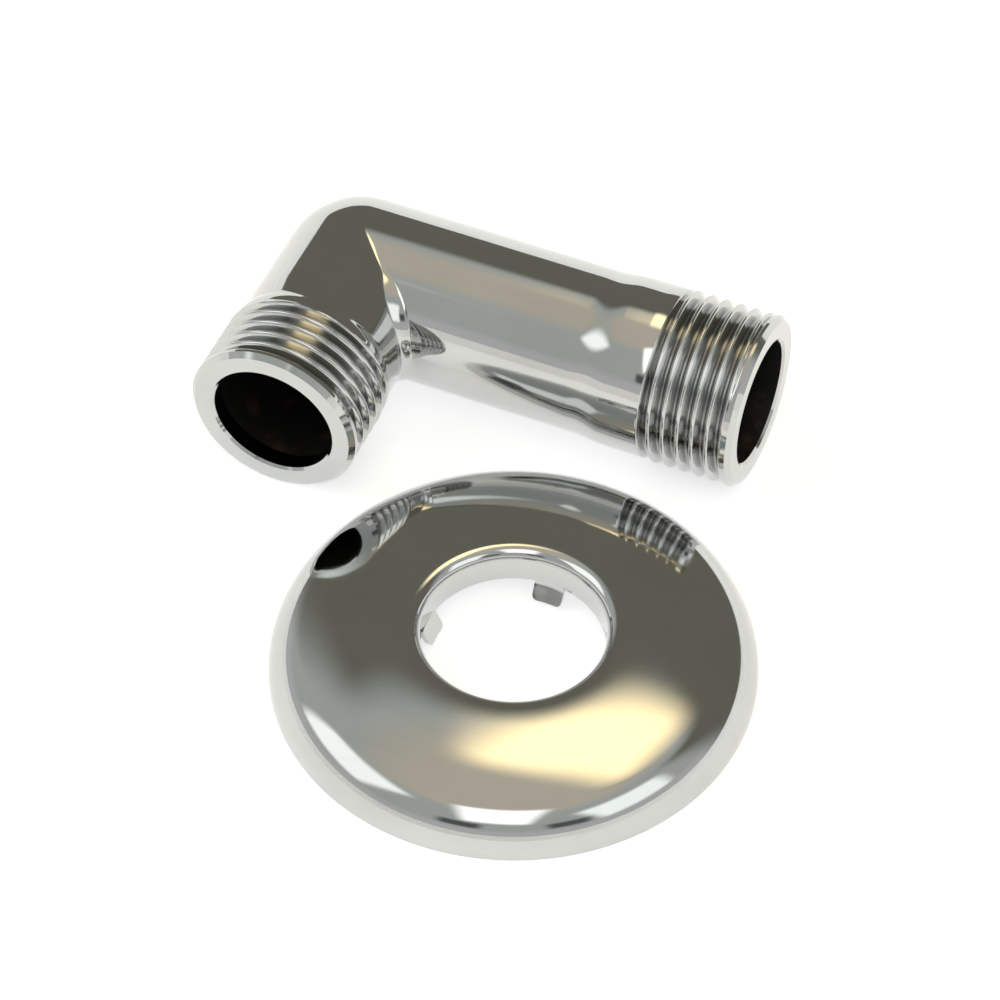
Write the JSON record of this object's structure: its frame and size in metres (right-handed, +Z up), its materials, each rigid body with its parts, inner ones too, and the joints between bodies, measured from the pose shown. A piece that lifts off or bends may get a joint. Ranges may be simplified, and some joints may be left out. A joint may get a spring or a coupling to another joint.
{
  "type": "wall outlet elbow",
  "caption": "Chromed wall outlet elbow with male threads and a round pressed wall flange, shown taken off; carries water from the wall to a shower hose.",
  "frame": {"origin": "on the surface that the elbow and its flange lie on, below the middle of their common box", "axes": "+Z up, +X along the wall leg towards its threaded end, -Y along the hose leg towards its threaded end"},
  "size_m": [0.0756, 0.0788, 0.021],
  "materials": {
    "polished_chrome": "polished chrome plating on brass"
  },
  "bodies": {
    "root": {"elbow": "polished_chrome", "wall_flange": "polished_chrome"}
  },
  "joints": []
}
